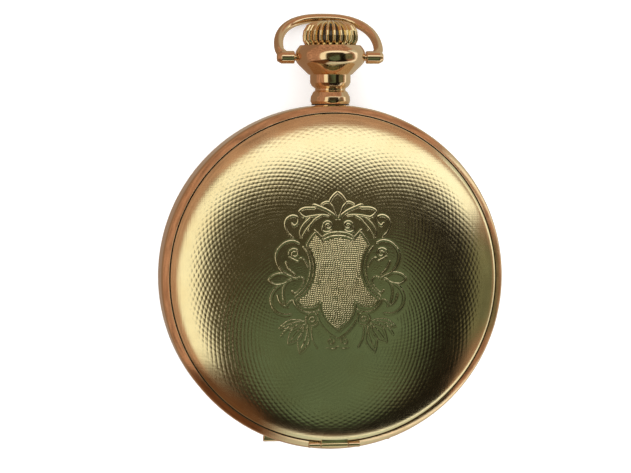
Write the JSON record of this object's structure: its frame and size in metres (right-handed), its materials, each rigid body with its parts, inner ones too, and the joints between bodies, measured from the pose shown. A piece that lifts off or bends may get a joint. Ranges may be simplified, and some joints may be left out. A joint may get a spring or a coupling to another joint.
{
  "type": "hunter pocket watch",
  "caption": "Hunter pocket watch with a domed engine-turned lid, hinged back and inner cover, swivelling bow, fluted winding crown and a wheel train under a glazed dial.",
  "frame": {"origin": "middle of the small flat on the back cover that the watch lies on", "axes": "+Z out of the front cover, square to the case; +Y from the joints towards the pendant and crown; +X to the right when seen from the front with the pendant up"},
  "size_m": [0.0508, 0.0645, 0.015],
  "materials": {
    "gold": "polished and engine turned yellow gold",
    "rose_gold": "polished, a little redder where worn",
    "brass": "gilt, fine grained",
    "nickel": "striped nickel",
    "steel": "polished steel",
    "blued_steel": "heat blued",
    "enamel": "glossy white enamel",
    "crystal": "clear",
    "ruby": "polished"
  },
  "bodies": {
    "case": {"bezel": "gold", "case_center": "rose_gold", "front_hinge_pin": "rose_gold", "back_hinge_pin": "rose_gold", "pendant": "rose_gold", "main_plate": "nickel", "barrel_bridge": "nickel", "train_bridge": "nickel", "balance_cock": "nickel", "pallet_bridge": "nickel", "lift_spring": "steel", "lift_spring_screw": "steel", "lock_spring_screw": "steel", "pendant_sleeve": "steel", "crown_wheel_core": "steel", "barrel_bridge_screw_1": "blued_steel", "barrel_bridge_screw_2": "blued_steel", "barrel_bridge_screw_3": "blued_steel", "train_bridge_screw_1": "blued_steel", "train_bridge_screw_2": "blued_steel", "balance_cock_screw": "blued_steel", "pallet_bridge_screw": "blued_steel", "dial": "enamel", "crystal": "crystal", "jewel_centre": "ruby", "jewel_third": "ruby", "jewel_fourth": "ruby", "jewel_escape": "ruby", "jewel_balance": "ruby"},
    "front_cover": {"front_cover": "gold"},
    "back_cover": {"back_cover": "gold"},
    "cuvette": {"cuvette": "gold"},
    "bow": {"bow": "rose_gold"},
    "winding_arbor": {"winding_pinion": "steel", "clutch": "steel"},
    "crown": {"crown": "gold", "stem": "steel"},
    "setting_lever": {"setting_lever": "steel"},
    "lock_spring": {"lock_spring": "steel"},
    "crown_wheel": {"crown_wheel": "steel"},
    "ratchet": {"ratchet_wheel": "steel", "barrel_arbor": "steel"},
    "click": {"click": "steel"},
    "barrel": {"barrel": "brass", "barrel_cover": "brass", "mainspring": "blued_steel"},
    "centre_wheel": {"centre_wheel": "brass", "cannon_pinion": "steel", "minute_hand": "blued_steel"},
    "third_wheel": {"third_wheel": "brass"},
    "fourth_wheel": {"fourth_wheel": "brass", "seconds_hand": "blued_steel"},
    "escape_wheel": {"escape_wheel": "steel"},
    "pallet_fork": {"pallet_fork": "steel"},
    "balance": {"balance_wheel": "brass", "hairspring": "blued_steel"},
    "regulator": {"regulator": "steel"},
    "minute_wheel": {"minute_wheel": "brass"},
    "hour_wheel": {"hour_wheel": "brass", "hour_hand": "blued_steel"}
  },
  "joints": [
    {"name": "front_cover_hinge", "type": "hinge", "parent": "case", "child": "front_cover", "pos_m": [0, -0.0246, 0.0112], "axis": [1, 0, 0], "range_deg": [0, 92]},
    {"name": "back_cover_hinge", "type": "hinge", "parent": "case", "child": "back_cover", "pos_m": [0, -0.0246, 0.0036], "axis": [-1, 0, 0], "range_deg": [0, 95]},
    {"name": "cuvette_hinge", "type": "hinge", "parent": "case", "child": "cuvette", "pos_m": [0, -0.0246, 0.0036], "axis": [-1, 0, 0], "range_deg": [0, 76]},
    {"name": "bow_swing", "type": "hinge", "parent": "case", "child": "bow", "pos_m": [0, 0.03243, 0.0073], "axis": [1, 0, 0], "range_deg": [-75, 165]},
    {"name": "crown_turn", "type": "hinge", "parent": "case", "child": "winding_arbor", "pos_m": [0, 0.015, 0.0073], "axis": [0, 1, 0], "continuous": true},
    {"name": "crown_slide", "type": "slide", "parent": "winding_arbor", "child": "crown", "axis": [0, 1, 0], "range_m": [-0.00045, 0.0008]},
    {"name": "setting_lever_turn", "type": "hinge", "parent": "case", "child": "setting_lever", "pos_m": [0.0034, 0.01875, 0.00815], "axis": [0, 0, -1], "range_deg": [-10, 14]},
    {"name": "lock_spring_give", "type": "slide", "parent": "case", "child": "lock_spring", "axis": [0, -1, 0], "range_m": [0, 0.0004], "stiffness_N_per_m": 400},
    {"name": "crown_wheel_turn", "type": "hinge", "parent": "case", "child": "crown_wheel", "pos_m": [0, 0.012, 0.0046], "axis": [0, 0, -1], "continuous": true},
    {"name": "ratchet_turn", "type": "hinge", "parent": "case", "child": "ratchet", "pos_m": [-0.00857, 0.00495, 0.0046], "axis": [0, 0, -1], "continuous": true},
    {"name": "click_turn", "type": "hinge", "parent": "case", "child": "click", "pos_m": [-0.01363, -0.00201, 0.004], "axis": [0, 0, -1], "range_deg": [-6, 6]},
    {"name": "seconds_turn", "type": "hinge", "parent": "case", "child": "fourth_wheel", "pos_m": [0.0096, 0, 0.006], "axis": [0, 0, -1], "continuous": true},
    {"name": "minute_turn", "type": "hinge", "parent": "case", "child": "centre_wheel", "pos_m": [0, 0, 0.006], "axis": [0, 0, -1], "continuous": true},
    {"name": "hour_turn", "type": "hinge", "parent": "case", "child": "hour_wheel", "pos_m": [0, 0, 0.0093], "axis": [0, 0, -1], "continuous": true},
    {"name": "minute_wheel_turn", "type": "hinge", "parent": "case", "child": "minute_wheel", "pos_m": [-0.00283, -0.00283, 0.009], "axis": [0, 0, -1], "continuous": true},
    {"name": "third_wheel_turn", "type": "hinge", "parent": "case", "child": "third_wheel", "pos_m": [0.00566, 0.00446, 0.0065], "axis": [0, 0, -1], "continuous": true},
    {"name": "escape_wheel_turn", "type": "hinge", "parent": "case", "child": "escape_wheel", "pos_m": [0.01417, -0.00264, 0.0065], "axis": [0, 0, -1], "continuous": true},
    {"name": "barrel_turn", "type": "hinge", "parent": "case", "child": "barrel", "pos_m": [-0.00857, 0.00495, 0.0065], "axis": [0, 0, -1], "continuous": true},
    {"name": "pallet_fork_swing", "type": "hinge", "parent": "case", "child": "pallet_fork", "pos_m": [0.01162, -0.00597, 0.0066], "axis": [0, 0, -1], "range_deg": [-5, 5]},
    {"name": "balance_swing", "type": "hinge", "parent": "case", "child": "balance", "pos_m": [0.0083, -0.0103, 0.005], "axis": [0, 0, -1], "range_deg": [-270, 270], "deforming": ["hairspring"]},
    {"name": "regulator_turn", "type": "hinge", "parent": "case", "child": "regulator", "pos_m": [0.0083, -0.0103, 0.0034], "axis": [0, 0, -1], "range_deg": [-20, 20]}
  ],
  "couplings": [
    {"joint": "cuvette_hinge", "follows": "back_cover_hinge", "ratio": 0.8},
    {"joint": "crown_wheel_turn", "follows": "crown_turn", "ratio": -0.4375},
    {"joint": "ratchet_turn", "follows": "crown_turn", "ratio": 0.29167},
    {"joint": "setting_lever_turn", "follows": "crown_slide", "rad_per_m": 250},
    {"joint": "minute_turn", "follows": "seconds_turn", "ratio": 0.016667},
    {"joint": "hour_turn", "follows": "seconds_turn", "ratio": 0.0013889},
    {"joint": "minute_wheel_turn", "follows": "seconds_turn", "ratio": -0.0055556},
    {"joint": "third_wheel_turn", "follows": "seconds_turn", "ratio": -0.13333},
    {"joint": "escape_wheel_turn", "follows": "seconds_turn", "ratio": -10},
    {"joint": "barrel_turn", "follows": "seconds_turn", "ratio": -0.0020833}
  ]
}
